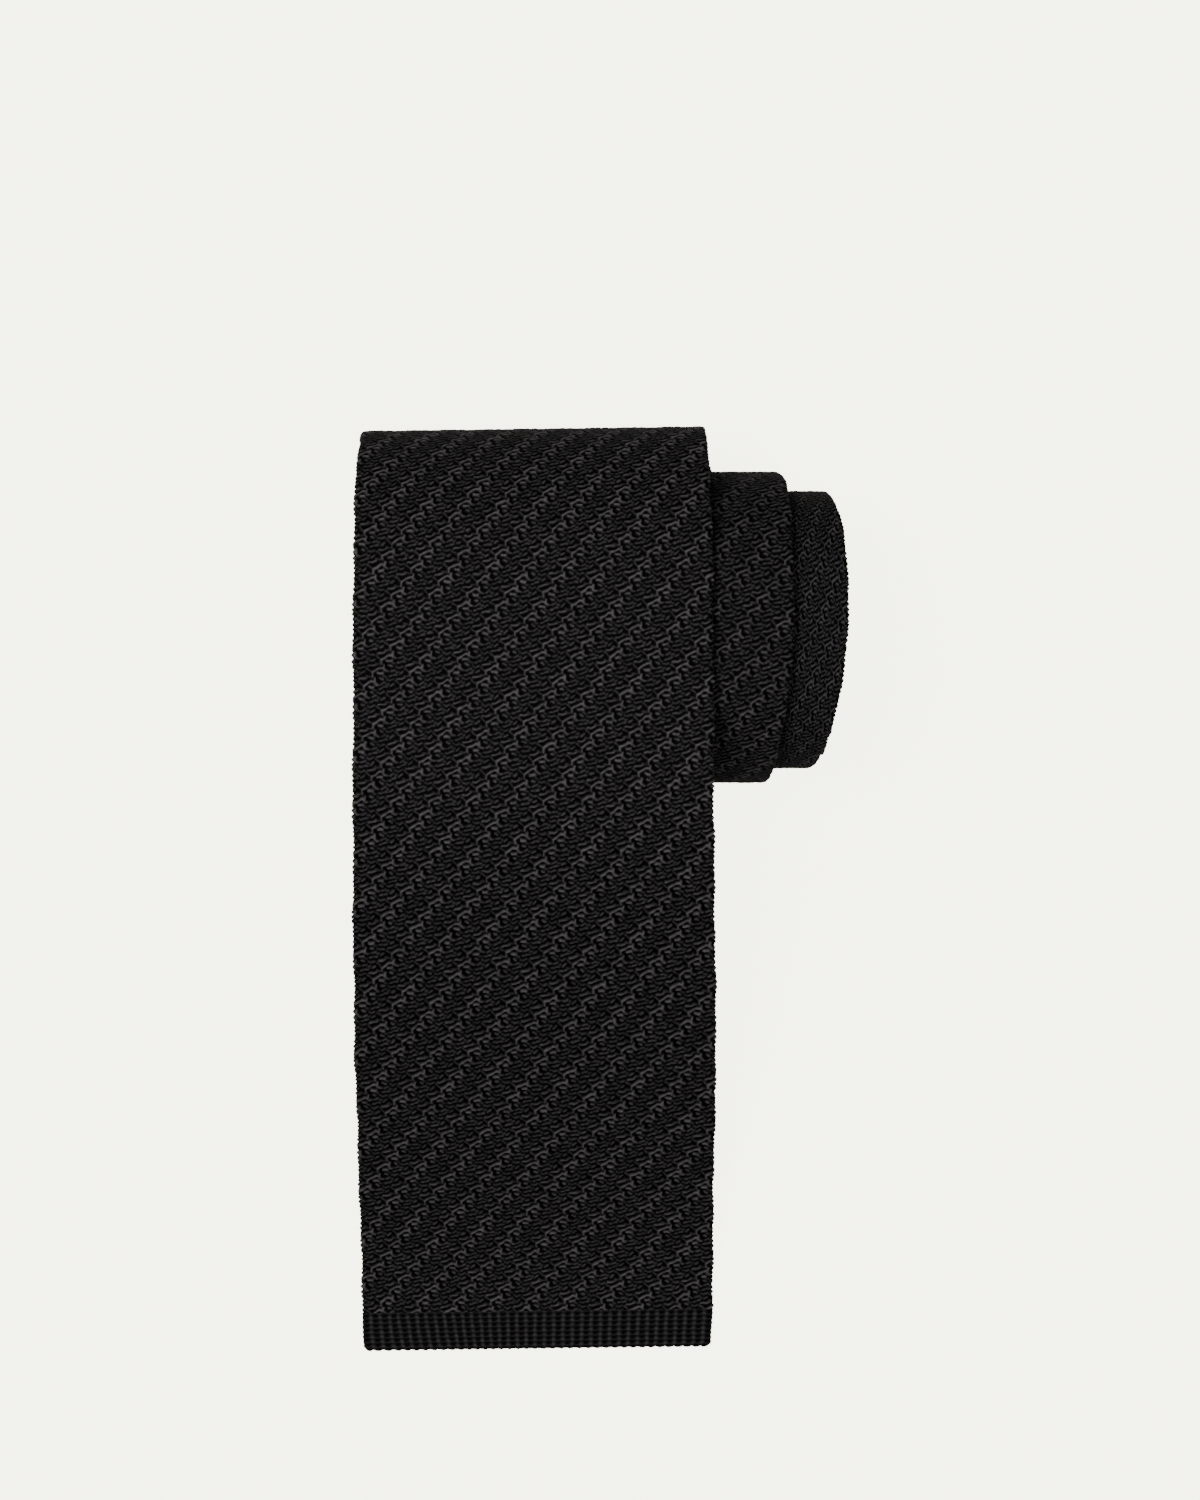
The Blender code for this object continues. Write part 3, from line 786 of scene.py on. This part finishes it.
# %% [markdown]
# ## The labels
#
# A blank woven label lies on the back between the loop and the tip, stitched down at both ends, and
# a small satin ribbon below it would carry the care marks. Both are left blank here. They are thin
# bands like the rest. Their weave is a matter for the material, but the small stitches that hold
# them are real thread.

# %% Make the labels and their stitches
LABEL_WIDTH = 52.0 * MM
LABEL_HEIGHT = 20.0 * MM
LABEL_END = LOOP_START - 4.0 * MM
LABEL_START = LABEL_END - LABEL_HEIGHT
CARE_WIDTH = 24.0 * MM
CARE_HEIGHT = 15.0 * MM
CARE_END = LABEL_START - 3.0 * MM
CARE_START = CARE_END - CARE_HEIGHT


def label(name, start, end, width, thickness, node):
    """A thin woven rectangle on the back of the wrap."""
    marks = column_marks(SEEN_ALL, fine=1.2, back=0.8, fold=4)
    runs = row_runs(start, end, 2.5, len(marks))
    made = swept_band(
        name, runs, marks, width / 2, width / 2, thickness / 2, rise=SKIN - thickness / 2
    )
    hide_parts(node)
    return made


maker = label(
    "blank_maker_label", LABEL_START, LABEL_END, LABEL_WIDTH, 0.4 * MM, "maker_label",
)
care = label(
    "blank_care_label", CARE_START, CARE_END, CARE_WIDTH, 0.3 * MM, "care_label"
)
care_bar = stitch_bar(
    "care_stitch_bar", CARE_END + GAP, CARE_END + GAP + 0.8 * MM, 0.0, 11.0 * MM, 0.5 * MM,
    "care_stitch",
)
label_bars = [care_bar]
for name, side in SIDES:
    label_bars.append(stitch_bar(
        f"label_stitch_bar_{name}", LABEL_START + 1.0 * MM, LABEL_END - 1.0 * MM,
        side * (LABEL_WIDTH / 2 + 0.7 * MM), 0.4 * MM, 0.5 * MM, f"label_stitch_{name}",
    ))
for piece in [maker, care] + label_bars:
    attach(piece, "wrap")
stitch_bars += label_bars
print("2 labels and", len(label_bars), "bars of stitches made")

# %% [markdown]
# ## Silk, thread and ribbon
#
# Black silk isn't one flat black. The tops of the stitches catch the light, the holes between them
# swallow it, and the filaments give the yarn a soft, broken gloss. Each vertex carries the height
# of the yarn there, and the colour is painted darker where the yarn lies low: painted shade in the
# holes, added to the shade that the relief itself casts. Fine streaks follow the stitches through
# the UV map, where they vary the colour and the roughness and raise a slight bump.

# %% A material for silk knit and thread
# Painted shade: height of the yarn, then how much of its colour is left. The holes are painted near
# black.
PAINTED_SHADE_RAMP = ((0.12, 0.002), (0.35, 0.08), (0.65, 0.35), (1.0, 1.0))
FILAMENT = 0.08 * MM


def painted_shade_colour(nodes, links, top):
    """A colour painted darker the lower the yarn lies: painted shade in the holes."""
    height = nodes.new("ShaderNodeAttribute")
    height.attribute_name = "yarn"
    ramp = nodes.new("ShaderNodeValToRGB")
    stops = ramp.color_ramp.elements
    for place, strength in PAINTED_SHADE_RAMP[1:-1]:
        stops.new(place)
    for stop, (place, strength) in zip(stops, PAINTED_SHADE_RAMP):
        stop.position = place
        stop.color = (*(strength * channel for channel in top), 1)
    links.new(height.outputs["Fac"], ramp.inputs["Fac"])
    return ramp.outputs["Color"]


def silk(name, top, roughness, sheen, gloss_level=0.03, streaks=(5.0, 16.0, 1.0), bump=0.3,
         paints_shade=True):
    """Dyed silk. On a knit its colour gets painted shade in the holes. On a flat weave it is even.
    """
    material = bpy.data.materials.new(name)
    material.use_nodes = True
    nodes, links = material.node_tree.nodes, material.node_tree.links
    shader = nodes["Principled BSDF"]
    shader.inputs["Sheen Weight"].default_value = sheen
    shader.inputs["Sheen Roughness"].default_value = 0.4
    shader.inputs["Specular IOR Level"].default_value = gloss_level
    stitches = nodes.new("ShaderNodeUVMap")
    stitches.uv_map = "stitches"
    stretched = nodes.new("ShaderNodeMapping")
    stretched.inputs["Scale"].default_value = streaks
    filaments = nodes.new("ShaderNodeTexNoise")
    filaments.inputs["Scale"].default_value = 1.0
    filaments.inputs["Detail"].default_value = 3.0
    links.new(stitches.outputs["UV"], stretched.inputs["Vector"])
    links.new(stretched.outputs["Vector"], filaments.inputs["Vector"])
    shade = nodes.new("ShaderNodeMix")
    shade.data_type = "RGBA"
    shade.blend_type = "MULTIPLY"
    shade.inputs["Factor"].default_value = 0.5
    # On a knit the colour is painted shade: it darkens where the yarn lies low.
    if paints_shade:
        links.new(painted_shade_colour(nodes, links, top), shade.inputs["A"])
    else:
        shade.inputs["A"].default_value = (*top, 1)
    links.new(filaments.outputs["Fac"], shade.inputs["B"])
    links.new(shade.outputs["Result"], shader.inputs["Base Color"])
    gloss = nodes.new("ShaderNodeMapRange")
    gloss.inputs["To Min"].default_value = roughness - 0.10
    gloss.inputs["To Max"].default_value = roughness + 0.12
    links.new(filaments.outputs["Fac"], gloss.inputs["Value"])
    links.new(gloss.outputs["Result"], shader.inputs["Roughness"])
    ridge = nodes.new("ShaderNodeBump")
    ridge.inputs["Strength"].default_value = bump
    ridge.inputs["Distance"].default_value = FILAMENT
    links.new(filaments.outputs["Fac"], ridge.inputs["Height"])
    links.new(ridge.outputs["Normal"], shader.inputs["Normal"])
    return material


def woven(name, colour, roughness, sheen, streaks):
    """A flat weave: one colour, with the fine lines of its threads."""
    return silk(
        name, colour, roughness, sheen, gloss_level=0.4, streaks=streaks, bump=0.2, paints_shade=False
    )


# %% Make the materials and dress the pieces
def dress(pieces, material):
    """Give pieces a material."""
    for piece in pieces:
        piece.data.materials.clear()
        piece.data.materials.append(material)


# The tops of the knit and rib silk are lighter than the black dye alone. Their colour was raised to
# make up for the gloss that the low specular level leaves out, so it is partly a painted highlight.
knit_silk = silk("black_knit_silk", (0.118, 0.108, 0.112), 0.50, 0.02)
hem_silk = silk("black_rib_silk", (0.056, 0.051, 0.053), 0.52, 0.02)
thread_silk = silk("black_twist_thread", (0.080, 0.074, 0.077), 0.42, 0.05)
tape_cotton = woven("black_woven_tape", (0.020, 0.020, 0.021), 0.70, 0.15, (20.0, 4.0, 1.0))
maker_satin = woven("charcoal_damask", (0.034, 0.034, 0.040), 0.38, 0.10, (9.0, 60.0, 1.0))
care_satin = woven("white_satin_ribbon", (0.78, 0.77, 0.73), 0.36, 0.05, (60.0, 6.0, 1.0))

dress([piece for piece, width, length in knit_lengths], knit_silk)
dress([front_hem, tail_hem, keeper], hem_silk)
dress(seam_threads + stitch_bars, thread_silk)
dress([tape], tape_cotton)
dress([maker], maker_satin)
dress([care], care_satin)
print(len(bpy.data.materials), "materials")

# %% [markdown]
# ## Floor and light
#
# The tie lies on a plain pale surface in soft, even light, with hardly a shadow. The lamps stay
# gentle, so that black silk keeps its depth. For the camera alone the floor glows a little, as a
# lit table does, and that glow doesn't spill onto the cloth.

# %% A pale floor
FLOOR_SIZE = 6.0
FLOOR_COLOUR = (0.80, 0.80, 0.74)
PALE = (1.0, 1.0, 0.80)
GLOW = 5.4


def seen_glow(nodes, links, dim, bright, output):
    """Show the bright shader to the camera only and light with the dim one."""
    rays = nodes.new("ShaderNodeLightPath")
    choose = nodes.new("ShaderNodeMixShader")
    links.new(rays.outputs["Is Camera Ray"], choose.inputs["Fac"])
    links.new(dim.outputs[0], choose.inputs[1])
    links.new(bright.outputs[0], choose.inputs[2])
    links.new(choose.outputs[0], output.inputs["Surface"])


floor_mesh = bpy.data.meshes.new("pale_floor")
bm = bmesh.new()
bmesh.ops.create_grid(bm, x_segments=1, y_segments=1, size=FLOOR_SIZE / 2)
bm.to_mesh(floor_mesh)
bm.free()
floor = bpy.data.objects.new("pale_floor", floor_mesh)
bpy.context.scene.collection.objects.link(floor)
pale = bpy.data.materials.new("pale_surface")
pale.use_nodes = True
nodes, links = pale.node_tree.nodes, pale.node_tree.links
matt = nodes["Principled BSDF"]
matt.inputs["Base Color"].default_value = (*FLOOR_COLOUR, 1)
matt.inputs["Roughness"].default_value = 0.9
glow = nodes.new("ShaderNodeEmission")
glow.inputs["Color"].default_value = (*PALE, 1)
glow.inputs["Strength"].default_value = GLOW
lit = nodes.new("ShaderNodeAddShader")
links.new(glow.outputs[0], lit.inputs[0])
links.new(matt.outputs[0], lit.inputs[1])
seen_glow(nodes, links, matt, lit, nodes["Material Output"])
floor_mesh.materials.append(pale)
print("floor", FLOOR_SIZE, "m across")

# %% A quiet room
ROOM_LIGHT = 0.08
HORIZON_GLOW = GLOW + 0.6

room = bpy.data.worlds.new("quiet_room")
room.use_nodes = True
bpy.context.scene.world = room
nodes, links = room.node_tree.nodes, room.node_tree.links
soft = nodes["Background"]
soft.inputs["Color"].default_value = (1, 1, 1, 1)
soft.inputs["Strength"].default_value = ROOM_LIGHT
backdrop = nodes.new("ShaderNodeBackground")
backdrop.inputs["Color"].default_value = (*PALE, 1)
backdrop.inputs["Strength"].default_value = HORIZON_GLOW
seen_glow(nodes, links, soft, backdrop, nodes["World Output"])
print("room light", ROOM_LIGHT)


# %% Two soft lamps
def lamp(name, place, aim, size, watts):
    """A square soft light, turned to face a point."""
    light = bpy.data.lights.new(name, "AREA")
    light.size = size
    light.energy = watts
    holder = bpy.data.objects.new(name, light)
    holder.location = place
    away = np.subtract(place, aim)
    flat = math.hypot(away[0], away[1])
    holder.rotation_euler = (math.atan2(flat, away[2]), 0, math.atan2(away[0], -away[1]))
    bpy.context.scene.collection.objects.link(holder)


AIM = (0.0, -0.05, 0.02)
lamp("key_softbox", (-0.35, 0.12, 0.95), AIM, 0.45, 8.6)
lamp("fill_softbox", (0.65, -0.35, 0.80), AIM, 0.60, 4.0)
print("key and fill lamps, aimed at", AIM)
